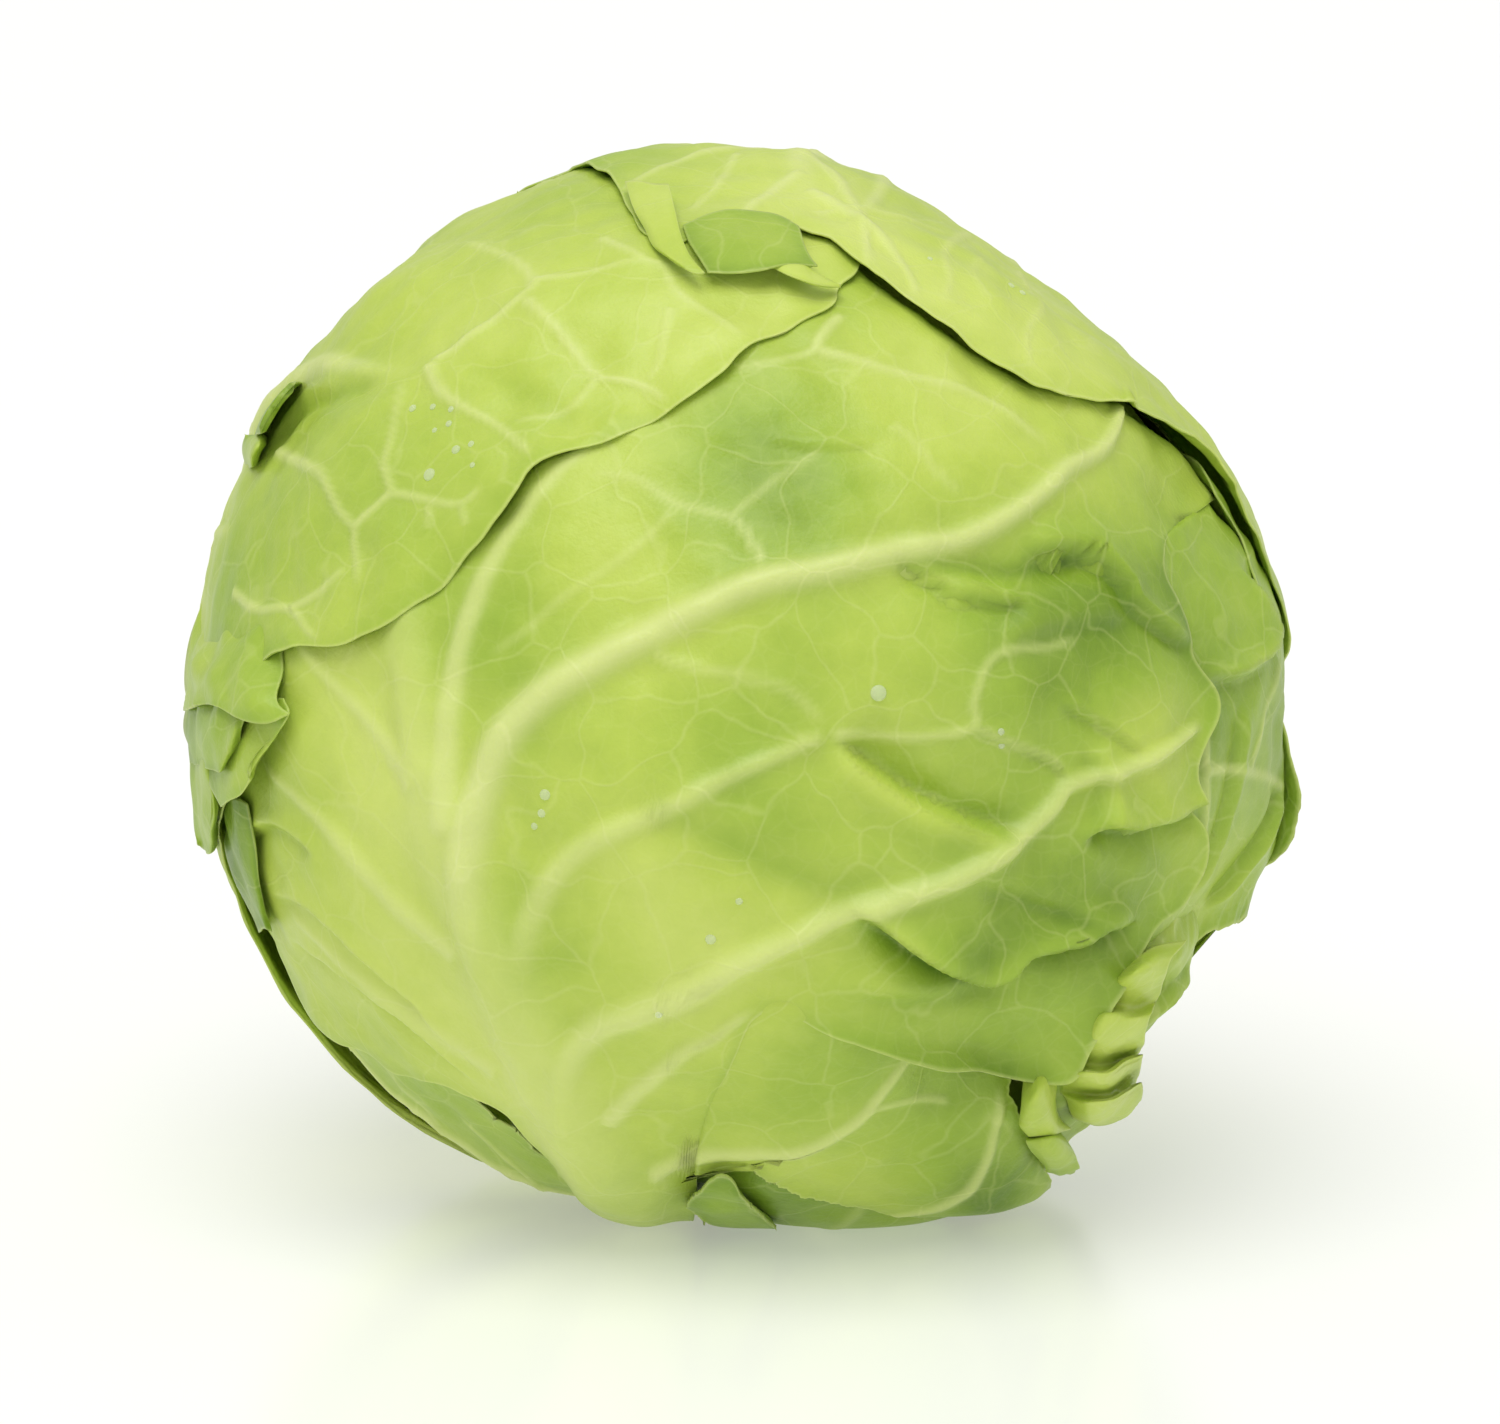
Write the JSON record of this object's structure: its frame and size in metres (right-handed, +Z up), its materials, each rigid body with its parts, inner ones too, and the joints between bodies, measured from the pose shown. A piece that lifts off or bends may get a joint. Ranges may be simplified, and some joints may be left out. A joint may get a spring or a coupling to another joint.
{
  "type": "cabbage head",
  "caption": "Round white cabbage head with overlapping wrapper leaves over a packed heart, resting on its trimmed stalk.",
  "frame": {"origin": "centre of the stalk's flat cut face, on the surface the head rests on", "axes": "+Z up; the front leaf with the fan of veins faces -Y; +X is to the right of it"},
  "size_m": [0.182, 0.1796, 0.1763],
  "materials": {
    "wrapper_leaf": "waxy fresh cabbage leaf, yellow-green with pale veins",
    "heart_leaves": "pale tightly packed inner leaves, waxy",
    "cut_stalk": "pale cut stalk, moist and fibrous"
  },
  "bodies": {
    "root": {"heart": "heart_leaves", "stalk": "cut_stalk", "front_leaf": "wrapper_leaf", "top_leaf": "wrapper_leaf", "left_leaf": "wrapper_leaf", "right_rear_leaf": "wrapper_leaf", "rear_left_leaf": "wrapper_leaf", "right_leaf": "wrapper_leaf", "left_under_leaf": "wrapper_leaf", "lower_leaf": "wrapper_leaf", "lower_right_leaf": "wrapper_leaf", "bottom_leaf": "wrapper_leaf", "petiole_stub": "wrapper_leaf"}
  },
  "joints": []
}
